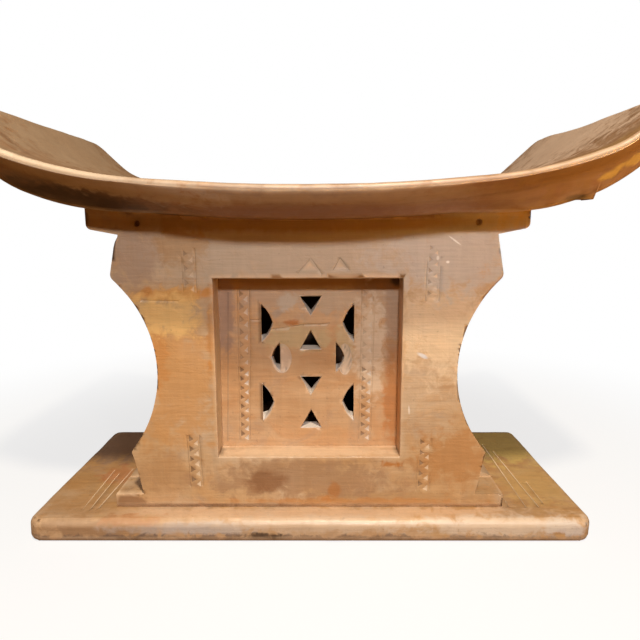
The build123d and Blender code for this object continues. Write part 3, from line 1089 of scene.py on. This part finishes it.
@dataclass
class PiercedPanel:
    """A sunk panel: hewn face, pierced and chip-carved."""

    way: Way
    face: float = 53.0
    shown: Point3 = (75.0, 62.0, 211.0)  # half width, lowest and highest
    grid: float = 3.6
    mouth_arris: float = 0.4
    inner: float = 43.0  # how far from the stool's middle its inside lies
    undercut: float = 3.2  # how much further out the front piercings' sides lie on the inside
    pit: Vector = Vector((1.5, 43.0, 103.8))  # where the back panel's lowest piercing all but closes
    side_pit: Vector = Vector((34.0, 43.0, 110.0))  # the same for its two lower outer crescents
    closed: Point2 = (0.88, 0.95)  # how far they close
    hewn: Point2 = (0.4, 0.2)  # depth of the broad and of the small waves
    lit_wall_paleness: float = 0.85  # painted light: how pale the piercings' upward-facing walls are painted
    inside_shade: float = 0.97  # painted shade: how dark its inside, within the closed pillar, is painted

    def is_skin(self, face: BMFace) -> bool:
        """Whether a face is on the panel's front, inside the window."""
        centre = face.calc_center_median() / MM
        return face.normal.y * self.way.value > 0.9 and centre.y * self.way.value > self.face - 1

    def cut_back(self, shape: BMesh) -> None:
        """Cuts the front piercings' sides back behind, and all but closes the lowest ones at the back.

        Args:
            shape: the panel's mesh, before its face is divided.
        """
        half, low, high = self.shown
        slopes: dict[BMVert, set[float]] = {}
        for face in shape.faces:
            centre = face.calc_center_median() / MM
            if abs(face.normal.y) < 0.9 and abs(centre.x) < half - 2 and low < centre.z < high:
                for vert in face.verts:
                    if abs(abs(vert.co.y) / MM - self.inner) < 0.05:
                        slopes.setdefault(vert, set()).add(round(face.normal.x, 1))
        for vert, leans in slopes.items():
            x, z = abs(vert.co.x) / MM, vert.co.z / MM
            if self.way is Way.FRONT:
                lean = max(leans, key=abs) if abs(sum(leans)) > 0.05 else 0.0
                vert.co.x -= self.undercut * MM * lean
            elif x < 12 and 83 < z < 107:  # the lowest triangle
                vert.co = vert.co.lerp(self.pit * MM, self.closed[0])
            elif 24 < x < 44 and 90 < z < 131:  # the crescents beside it
                side = math.copysign(1.0, vert.co.x)
                vert.co = vert.co.lerp(self.side_pit * Vector((side, 1.0, 1.0)) * MM, self.closed[1])

    def knife_work(self) -> BMesh:
        """The tools for the two bands, the incised line, the hollows and the crack.

        Returns:
            The tools.
        """
        knife = Knife(self.face, self.way)
        for band in (ChipBand((-58.0, -50.0, 199.0), (-58.4, -50.8, 134.5), 10.8, 1.0, 0.6),
                     ChipBand((-58.4, -50.8, 133.5), (-59.0, -52.0, 69.0), 8.1, 1.7),
                     ChipBand((44.5, 53.5, 199.0), (44.0, 52.5, 134.5), 10.8, 0.9, 0.35),
                     ChipBand((44.0, 52.5, 133.5), (43.4, 51.2, 69.0), 8.1, 1.6, 0.85)):
            band.cut(knife)
        knife.line((-66.3, 197.0), (-70.2, 68.0), 0.8, 0.5, -0.3)
        knife.scoop((-23.0, 140.5), (9.0, 13.5), 0.0, 1.3, 0.3)
        knife.scoop((30.0, 139.5), (6.4, 14.5), 0.0, 1.3, 0.3)
        if self.way is Way.FRONT:
            crack = ((-34.9, 164.8), (-28.5, 166.0), (-15.7, 167.5), (-4.1, 169.4), (9.2, 169.8),
                     (17.5, 170.8))
            for start, end in zip(crack, crack[1:]):
                knife.line((start[0] + 0.4, start[1]), end, 0.35, 0.5, -0.45)
            knife.line((-49.2, 173.6), (-41.0, 173.2), 0.5, 0.4, -0.6)
        return knife.finish()

    def build(self, finish: Material) -> Object:
        """Eases, hews and carves the panel.

        Args:
            finish: its wood.
        Returns:
            The panel.
        """
        side, name = self.way.value, self.way.name.lower()
        shape = cad_copy(f"{name}_panel")
        half, low, high = self.shown

        def mouth(spot: Vector) -> bool:
            """Whether an edge's middle lies on the rim of a piercing."""
            return abs(spot.y - side * self.face) < 0.05 and abs(spot.x) < half and low < spot.z < high

        shape.normal_update()
        self.cut_back(shape)
        shape.normal_update()
        round_over(shape, sharp_edges(shape, mouth), self.mouth_arris, 2)
        rule_off(shape, 0, -half, half, self.grid, self.is_skin)
        rule_off(shape, 2, low, high, self.grid, self.is_skin)
        hew(shape, self.is_skin, *self.hewn)
        mark_edges(shape)
        cut, soot = (shape.faces.layers.float[layer] for layer in KNIFE_LAYERS)
        # painted light on the piercings' upward walls, painted shade on the panel's inside
        for face in shape.faces:
            inside = abs(face.calc_center_median().x) < half * MM
            if inside and abs(face.normal.y) < 0.97 and face.normal.z > 0.2:
                face[cut] = self.lit_wall_paleness
            if face.normal.y * side < -0.9:
                face[soot] = self.inside_shade
        piece = make_object(f"{name}_pierced_panel", shape)
        boolean(piece, self.knife_work(), overlapping=True)
        return settle(piece, finish, Slot.PANEL, f"{name}_panel")


@dataclass
class SideBlock:
    """A cheek, the bearer or the foot plinth: blocks between the face boards that show at the sides."""

    node: str
    name: str
    grid: float = 4.0
    board_back: float = 43.01  # the face boards cover what lies further from the middle
    step_top: float = 31.0  # the foot plinth's top, under the cheeks
    bearer_foot: float = 243.5  # the bearer's underside, on the cheeks

    def is_skin(self, face: BMFace) -> bool:
        """Whether a face is part of the pillar's outline at the sides."""
        centre, normal = face.calc_center_median() / MM, face.normal
        if abs(normal.y) > 0.4 or abs(centre.x) < WAIST or abs(centre.y) > self.board_back:
            return False
        seat_contact = normal.z > 0.5 and centre.z > SEAT_SEAM
        on_step = abs(centre.z - self.step_top) < 1 and abs(centre.x) < 137
        under_bearer = abs(centre.z - self.bearer_foot) < 0.3
        joint = abs(normal.z) > 0.98 and (centre.z < BASE_SEAM or on_step or under_bearer)
        return not (seat_contact or joint)

    def build(self, finish: Material) -> Object:
        """Hews the block's outer side.

        Args:
            finish: its wood.
        Returns:
            The block.
        """
        shape = cad_copy(self.node)
        shape.normal_update()
        hew_pillar(shape, self.is_skin, self.grid, [(-40, 40, self.grid * 1.5)])
        piece = make_object(self.name, shape)
        return settle(piece, finish, Slot.PILLAR, self.node)


@dataclass
class BaseSlab:
    """The slab: soft arrises, hewn faces and incised lines beside the pillar, in mm."""

    length: float = 456.0
    depth: float = 198.0
    thickness: float = 20.0
    corner: float = 13.0
    top_arris: float = 7.0
    under_arris: float = 4.0
    grid: float = 5.0
    back_slope: float = 0.35  # how far the back's arris is drawn together
    hewn: Point2 = (1.2, 0.45)  # depth of the broad and of the small waves
    covered: Point2 = (163.0, 80.0)  # the pillar hides the top up to here in X and Y

    def knife_work(self) -> BMesh:
        """The tools for the lines that run back along each end of the slab.

        Returns:
            The tools.
        """
        knife = LevelKnife(self.thickness)
        lines = (((-172.2, -2.0), (-174.9, -78.0), 2.6), ((-182.0, -12.0), (-181.4, -80.0), 2.0),
                 ((-188.9, -3.7), (-187.5, -81.0), 2.4), ((167.5, -30.0), (166.0, -76.0), 1.4),
                 ((182.0, 60.0), (180.0, -77.0), 2.4), ((188.0, 40.0), (190.5, -77.0), 2.2),
                 ((197.0, -30.0), (196.5, -70.0), 1.4))
        for start, end, width in lines:
            # the lines' walls are painted pale: fresh wood and painted light
            knife.line(start, end, width, depth=1.2, tone=0.7)
        return knife.finish()

    def build(self, finish: Material) -> Object:
        """Shapes and incises the slab and cuts its mortises.

        Args:
            finish: its wood.
        Returns:
            The slab.
        """
        shape = rounded_slab((self.length, self.depth, self.thickness), 0.0,
                             (self.corner, 8), (self.top_arris, 5), (self.under_arris, 2))
        for vert in shape.verts:
            inset = self.depth / 2 - vert.co.y / MM
            share = self.back_slope + (1.0 - self.back_slope) * ease(inset, self.top_arris, 20.0)
            vert.co.y = (self.depth / 2 - inset * share) * MM
        for axis, size in enumerate((self.length, self.depth)):
            rule_off(shape, axis, 6 - size / 2, size / 2 - 6, self.grid)
        rule_off(shape, 2, 6, 12, 6.0)

        def skin(face: BMFace) -> bool:
            """Whether a face shows beside the pillar and above the floor."""
            centre = face.calc_center_median() / MM
            far_x, far_y = self.covered
            covered = abs(centre.x) < far_x and abs(centre.y) < far_y and face.normal.z > 0.9
            return face.normal.z > -0.9 and not covered and centre.z > 1

        hew(shape, skin, *self.hewn)
        mark_edges(shape)
        piece = make_object("base_slab", shape)
        for tools in (cad_copy("left_cheek"), cad_copy("right_cheek"), self.knife_work()):
            boolean(piece, tools)
        return settle(piece, finish, Slot.BASE, "base")


# ---------------------------------------------------------------- the studio
@dataclass(frozen=True)
class Lamp:
    """An area lamp: its size in metres and how wide it spreads, in degrees."""

    name: str
    place: Point3
    aim: Point3
    size: float
    watts: float
    colour: Rgb
    spread: float = 180.0

    def hang(self) -> None:
        """Hangs the lamp, turned to what it lights."""
        data = bpy.data.lights.new(self.name, "AREA")
        data.shape = "DISK"
        data.size = self.size
        data.energy = self.watts
        data.color = self.colour
        data.spread = math.radians(self.spread)
        lamp = bpy.data.objects.new(self.name, data)
        lamp.location = self.place
        lamp.rotation_euler = (Vector(self.aim) - Vector(self.place)).to_track_quat("-Z", "Y").to_euler()
        bpy.context.scene.collection.objects.link(lamp)


@dataclass
class Studio:
    """Pale floor, plain background, lamps and camera."""

    camera_place: Point3 = (0.0120, -0.5112, 0.2490)
    pitch: float = 0.164  # radians below level
    yaw: float = -0.006
    roll: float = -0.003
    lens: float = 31.5
    floor_size: float = 8.0
    fill: float = 0.06
    lamps: tuple[Lamp, ...] = (
        Lamp("key", (0.12, -1.83, 1.10), (0.0, 0.0, 0.18), 0.16, 18.3, (1.0, 1.0, 0.99)),
        Lamp("right", (0.80, -1.65, 1.03), (0.0, 0.0, 0.18), 0.18, 5.8, (1.0, 0.97, 0.92)),
        Lamp("overhead", (0.10, -0.822, 1.37), (0.0, 0.0, 0.08), 0.12, 17.5, (1.0, 0.88, 0.70)),
        Lamp("low_glow", (0.70, -0.50, 0.08), (0.22, -0.12, 0.29), 0.12, 0.12, (1.0, 0.50, 0.12), 36.0),
    )

    def paint_world(self) -> None:
        """A plain fill light, seen as white behind the stool."""
        world = bpy.data.worlds.new("studio")
        graph = open_nodes(world)
        path = graph.add("ShaderNodeLightPath").outputs
        seen = graph.math("MAXIMUM", path["Is Camera Ray"], path["Is Transmission Ray"])
        light, white = (graph.add("ShaderNodeBackground", {"Color": colour, "Strength": strength})
                        for colour, strength in (((1.0, 0.38, 0.08), self.fill), ((1.0, 1.0, 1.0), 1.0)))
        graph.add("ShaderNodeOutputWorld", {"Surface": graph.blend(seen, light, white).outputs[0]})
        bpy.context.scene.world = world

    def lay_floor(self) -> None:
        """A pale floor that keeps the stool's shadow and fades to white away from it."""
        shape = bmesh.new()
        bmesh.ops.create_grid(shape, x_segments=1, y_segments=1, size=self.floor_size / 2)
        floor = make_object("studio_floor", shape)
        material = bpy.data.materials.new("pale_floor")
        graph = open_nodes(material)
        away = graph.vector("LENGTH", graph.add("ShaderNodeTexCoord").outputs["Object"], output="Value")
        bounce, shown = (graph.add("ShaderNodeBsdfDiffuse", {"Color": colour})
                         for colour in ((0.26, 0.13, 0.045), (0.95, 0.95, 0.95)))
        white = graph.add("ShaderNodeEmission", {"Strength": 1.0})
        lit = graph.blend(graph.span(away, 0.25, 0.75, 0.74, 1.0), shown, white)
        seen = graph.blend(graph.add("ShaderNodeLightPath").outputs["Is Camera Ray"], bounce, lit)
        graph.add("ShaderNodeOutputMaterial", {"Surface": seen.outputs[0]})
        floor.data.materials.append(material)

    def set_camera(self) -> None:
        """Sets the camera up in front of the stool, a little above the seat's dish."""
        forward = Vector((math.sin(self.yaw) * math.cos(self.pitch),
                          math.cos(self.yaw) * math.cos(self.pitch), -math.sin(self.pitch)))
        level = Vector((math.cos(self.yaw), -math.sin(self.yaw), 0.0))
        above = level.cross(forward)
        right = level * math.cos(self.roll) + above * math.sin(self.roll)
        up = above * math.cos(self.roll) - level * math.sin(self.roll)
        turn = Matrix((right, up, -forward)).transposed().to_4x4()
        data = bpy.data.cameras.new("camera")
        data.lens = self.lens
        data.clip_start = 0.01
        camera = bpy.data.objects.new("camera", data)
        camera.matrix_world = Matrix.Translation(self.camera_place) @ turn
        bpy.context.scene.collection.objects.link(camera)
        bpy.context.scene.camera = camera

    def build(self) -> None:
        """Builds the whole studio."""
        for lamp in self.lamps:
            lamp.hang()
        self.paint_world()
        self.lay_floor()
        self.set_camera()
        bpy.context.scene.view_settings.view_transform = "Standard"
        log.info("studio: %d lamps", len(self.lamps))


# ---------------------------------------------------------------- finishes
FRONT = -77.0  # the front board's face, in mm
SUNK = -53.0  # the front panel's face
EDGE = -143.0  # the seat's front edge
SLAB = -99.0  # the base's front
WHITE_PAINT: Rgb = (0.66, 0.66, 0.70)
ORANGE: Rgb = (0.56, 0.23, 0.05)

PILLAR_WOOD = WoodFinish(
    "pillar_wood", pale=(0.58, 0.41, 0.26), warm=(0.55, 0.34, 0.17), rich=(0.53, 0.28, 0.11),
    deep=(0.36, 0.17, 0.06),
    stains=(
        # painted shade: the board's upper part, under the seat, greyer and duller
        Stain((20, FRONT, 238), (200, 60, 46), (0.51, 0.405, 0.305), 0.85, broken=1.2),
        Stain((-134, FRONT, 228), (26, 60, 28), (0.40, 0.26, 0.175), 0.7),
        Stain((-98, FRONT, 238), (22, 60, 24), (0.46, 0.26, 0.11), 0.7),
        Stain((-108, FRONT, 130), (46, 60, 66), (0.57, 0.29, 0.105), 0.75),
        Stain((-121, FRONT, 155), (11, 60, 46), (0.55, 0.23, 0.06), 0.6),
        Stain((-104, FRONT, 197), (36, 30, 6.5), (0.64, 0.31, 0.08), 0.9, 3.0),
        Stain((-77, FRONT, 165), (5, 30, 36), (0.50, 0.21, 0.05), 0.7),
        Stain((-125.6, FRONT, 199.6), (5, 30, 5.5), ORANGE, 0.8),
        Stain((-81.1, FRONT, 198.7), (6, 30, 4.5), ORANGE, 0.8),
        Stain((104, FRONT, 172), (40, 60, 48), (0.73, 0.55, 0.36), 0.75),
        # painted shade: greyer under the seat at the board's upper right
        Stain((112, FRONT, 228), (62, 60, 34), (0.52, 0.46, 0.41), 0.8),
        Stain((-112, FRONT, 180), (34, 60, 20), (0.82, 0.52, 0.20), 0.8),
        # painted shadow: the seat's cast shadow, a dark band across the board's top
        Stain((0, FRONT, 253), (170, 30, 9), (0.34, 0.18, 0.045), 0.9, broken=0.5),
        Stain((70, FRONT, 27), (100, 30, 8), (0.42, 0.24, 0.105), 0.7),
        Stain((120, FRONT, 62), (38, 60, 28), (0.47, 0.22, 0.075), 0.8),
        Stain((-118, FRONT, 50), (30, 60, 20), (0.43, 0.24, 0.11), 0.6),
        Stain((0, FRONT, 44), (88, 30, 19), (0.37, 0.21, 0.11), 0.75),
        Stain((-34.8, FRONT, 41.5), (18, 30, 11), (0.25, 0.11, 0.045), 0.75, broken=1.2),
        Stain((20.6, FRONT, 34.6), (6, 30, 7), (0.42, 0.16, 0.04), 0.7, broken=1.4),
        Stain((14, FRONT, 26.5), (9, 30, 4), (0.48, 0.18, 0.04), 0.8),
        Stain((66.5, FRONT, 57), (9, 30, 3.6), (0.45, 0.16, 0.03), 0.85),
        Stain((30, FRONT, 24), (110, 30, 3.5), (0.50, 0.21, 0.055), 0.6),
        Stain((91, FRONT, 148), (5.4, 20, 1.9), WHITE_PAINT, 0.85, -28.0, 0.5),
        Stain((113.1, FRONT, 238.8), (6.6, 20, 0.75), (0.86, 0.84, 0.80), 0.9, -36.0, 0.5),
        Stain((108.3, FRONT, 222.3), (1.5, 20, 1.2), (0.86, 0.84, 0.80), 0.9, 0.0, 0.4),
        Stain((100.5, FRONT, 225.4), (1.3, 20, 2), (0.80, 0.76, 0.72), 0.8, 0.0, 0.4),
        Stain((81, FRONT, 103.4), (0.9, 20, 4.2), (0.80, 0.68, 0.56), 0.8, 4.0, 0.4),
        # painted light: the window's sill paler, an up-facing strip in the light
        Stain((0, -66, 63.5), (90, 10.5, 3), (0.75, 0.54, 0.35), 0.8, broken=1.0),
        # painted light: the window's two jambs paler than the face
        Stain((-75, -65, 125), (2.6, 13, 72), (0.66, 0.50, 0.30), 0.85, broken=1.0),
        Stain((75, -65, 130), (2.6, 13, 76), (0.76, 0.42, 0.21), 0.85, broken=1.0),
        Stain((-148, FRONT, 24), (16, 20, 8), (0.26, 0.13, 0.06), 0.8),
        # painted shade: a dark line along the board's foot, where it meets the base
        Stain((-75, FRONT, 20.5), (85, 20, 2.4), (0.20, 0.09, 0.04), 0.8, broken=1.0),
        Stain((60, -FRONT, 170), (60, 60, 50), (0.55, 0.27, 0.10), 0.7),
        Stain((-70, -FRONT, 60), (60, 60, 34), (0.37, 0.20, 0.10), 0.7),
    ))
PANEL_WOOD = WoodFinish(
    "panel_wood", pale=(0.58, 0.36, 0.20), warm=(0.55, 0.31, 0.15), rich=(0.55, 0.27, 0.11),
    # its pale colour is also the painted light on the piercings' upward walls
    deep=(0.36, 0.18, 0.07), fresh_and_lit=(0.72, 0.66, 0.60),
    stains=(
        # painted shade: the panel's upper part greyer under the seat, the window head's cast shadow, its
        # dark right corner, and shade beside both jambs
        Stain((0, SUNK, 200), (86, 20, 24), (0.46, 0.32, 0.22), 0.75),
        Stain((0, SUNK, 208), (100, 20, 8), (0.33, 0.17, 0.05), 0.85, broken=0.4),
        Stain((73, SUNK, 207), (7, 20, 7), (0.05, 0.02, 0.005), 0.9, broken=0.4),
        Stain((-70, SUNK, 178), (9, 20, 40), (0.34, 0.21, 0.15), 0.8),
        Stain((69, SUNK, 174), (9, 20, 27), (0.48, 0.33, 0.23), 0.7),
        Stain((70, SUNK, 105), (9, 20, 46), (0.52, 0.21, 0.065), 0.8),
        Stain((-8, SUNK, 158), (34, 20, 13), (0.52, 0.40, 0.22), 0.65),
        Stain((30, SUNK, 152), (10, 20, 20), (0.56, 0.44, 0.26), 0.6),
        Stain((-17, SUNK, 188), (10, 20, 9), (0.52, 0.47, 0.40), 0.55),
        Stain((-27.2, SUNK, 178.3), (5, 20, 5), (0.34, 0.30, 0.26), 0.5),
        Stain((-14.8, SUNK, 171), (7, 20, 3), (0.46, 0.16, 0.04), 0.85),
        Stain((17.5, SUNK, 189), (24, 20, 11), (0.46, 0.35, 0.24), 0.55),
        Stain((50, SUNK, 150), (16, 20, 46), (0.70, 0.52, 0.36), 0.85),
    ))
SEAT_WOOD = WoodFinish(
    "seat_wood", pale=(0.38, 0.23, 0.13), warm=(0.34, 0.175, 0.08), rich=(0.32, 0.14, 0.05),
    deep=(0.14, 0.055, 0.02), dust=(0.22, 0.14, 0.09), worn_colour=(0.86, 0.66, 0.48), streak=0.45,
    dusty=0.5, tooled=0.08, bump=0.2, coat=0.12,
    stains=(
        Stain((232, 30, 330), (70, 150, 60), (0.78, 0.58, 0.43), 0.8),
        Stain((-228, 30, 325), (70, 150, 60), (0.46, 0.33, 0.21), 0.7),
        Stain((20, EDGE, 268), (150, 30, 10), (0.40, 0.275, 0.165), 0.6),
        # painted shade: the underside's front strip dark and saturated
        Stain((0, -122, 255), (220, 20, 11), (0.23, 0.085, 0.012), 0.8, broken=1.2),
        Stain((-195, EDGE, 282), (120, 30, 38), (0.36, 0.24, 0.14), 0.85),
        # pale line along the left front arris: worn edge with a painted highlight
        Stain((-165, -142, 291), (60, 12, 4), (0.95, 0.76, 0.56), 0.9, -15.0, 0.8),
        # painted shade: the left wing's underside nearly black
        Stain((-185, -105, 262), (110, 66, 27), (0.03, 0.008, 0.001), 0.95, broken=0.8),
        Stain((-150, EDGE, 279), (95, 16, 13), (0.47, 0.34, 0.22), 0.8, -15.0, 1.6),
        Stain((-100, EDGE, 271), (60, 30, 9), (0.48, 0.36, 0.26), 0.75, -5.0),
        Stain((-42, EDGE, 274), (30, 30, 4.6), (0.25, 0.155, 0.10), 0.6, broken=3.0),
        Stain((14, EDGE, 272.5), (26, 30, 4.6), (0.27, 0.17, 0.11), 0.55, broken=3.0),
        # warmer on the right wing's front: partly the wood's tone, partly painted warm light from the
        # right
        Stain((205, EDGE, 285), (85, 30, 40), (0.36, 0.20, 0.07), 0.75),
        # painted shade: a dark wedge under the right wing's ledge
        Stain((190, -106, 268.6), (15, 12, 3.6), (0.015, 0.006, 0.002), 0.95, 0.0, 0.6),
        Stain((206, -132, 283), (13, 22, 4.4), (0.72, 0.50, 0.13), 0.75, 30.0, 1.6),
        Stain((224, -132, 293), (14, 22, 5), (0.66, 0.46, 0.12), 0.7, 30.0, 1.6),
        Stain((204, -104, 270.5), (4.4, 16, 4.5), (0.50, 0.34, 0.22), 0.85, 0.0, 0.6),
    ))
BASE_WOOD = WoodFinish(
    "base_wood", pale=(0.56, 0.37, 0.22), warm=(0.52, 0.30, 0.13), rich=(0.50, 0.25, 0.085),
    deep=(0.30, 0.14, 0.05), coat=0.3,
    stains=(
        # painted light: the slab's top front strip paler, where it faces up into the light
        Stain((0, -87, 20), (240, 14, 5), (0.72, 0.50, 0.33), 0.6),
        # painted shade: the rear of the slab's top, in the seat's shadow, dark grey-brown at the left and
        # olive at the right
        Stain((-206, 62, 20), (66, 56, 14), (0.35, 0.215, 0.14), 0.85),
        Stain((206, 62, 20), (66, 56, 14), (0.74, 0.56, 0.18), 0.75),
        Stain((-170, SLAB, 12), (66, 14, 10), (0.33, 0.19, 0.10), 0.85),
        # painted sheen: pale greyish reflections on the slab's front
        Stain((-105, SLAB, 12), (60, 12, 6), (0.50, 0.41, 0.35), 0.65),
        Stain((205, SLAB, 12), (22, 14, 7), (0.62, 0.60, 0.60), 0.6),
        Stain((-150, SLAB, 1), (95, 14, 6), (0.14, 0.10, 0.08), 0.7),
        Stain((-180, -14, 20), (20, 22, 10), (0.52, 0.19, 0.07), 0.6),
        Stain((-184, -74, 20), (44, 20, 8), (0.46, 0.24, 0.09), 0.5),
        Stain((205, -30, 20), (40, 50, 8), (0.64, 0.42, 0.16), 0.5),
        Stain((-140, SLAB, 18), (30, 14, 5), (0.48, 0.19, 0.06), 0.65),
        # painted sheen: a pale reflection band along the slab's front
        Stain((-81, SLAB, 13), (44, 12, 6), (0.50, 0.44, 0.40), 0.6),
        Stain((17, SLAB, 15), (90, 12, 8), (0.62, 0.47, 0.34), 0.65),
        Stain((150, SLAB, 14), (85, 12, 9), (0.68, 0.56, 0.44), 0.7),
        Stain((0, SLAB, 0), (300, 14, 6.5), (0.16, 0.10, 0.07), 0.75, 0.0, 3.5),
        Stain((-37, SLAB, 5), (16, 10, 4), (0.05, 0.03, 0.02), 0.85),
        Stain((-59, SLAB, 18.3), (7, 8, 0.9), (0.80, 0.58, 0.40), 0.8, 0.0, 0.4),
    ))
PEG_WOOD = WoodFinish(
    "peg_wood", pale=(0.30, 0.17, 0.08), warm=(0.24, 0.12, 0.05), rich=(0.22, 0.10, 0.035),
    deep=(0.12, 0.05, 0.02))


def dress_pegs(frame: dict, finish: Material) -> None:
    """Gives the hidden dowels and pins their wood.

    Args:
        frame: the loaded frame.
        finish: the pegs' wood.
    """
    for name in ("board_dowels", "seat_dowels", "bearer_pins"):
        node = frame["nodes"][name]
        node.data.materials.clear()
        node.data.materials.append(finish)
        log.info("%s: carried over", name)


def main() -> None:
    logging.basicConfig(level=logging.INFO, format="%(name)s: %(message)s")
    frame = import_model()
    effects = WoodEffects()
    pillar = PILLAR_WOOD.material(effects)
    panel = PANEL_WOOD.material(effects)
    Seat().build(SEAT_WOOD.material(effects))
    for way in Way:
        FaceBoard(way).build(pillar)
        PiercedPanel(way).build(panel)
    for node, name in (("left_cheek", "left_cheek_block"), ("right_cheek", "right_cheek_block"),
                       ("bearer", "seat_bearer"), ("foot_plinth", "foot_step")):
        SideBlock(node, name).build(pillar)
    BaseSlab().build(BASE_WOOD.material(effects))
    dress_pegs(frame, PEG_WOOD.material(effects))
    Studio().build()


if __name__ == "__main__":
    main()
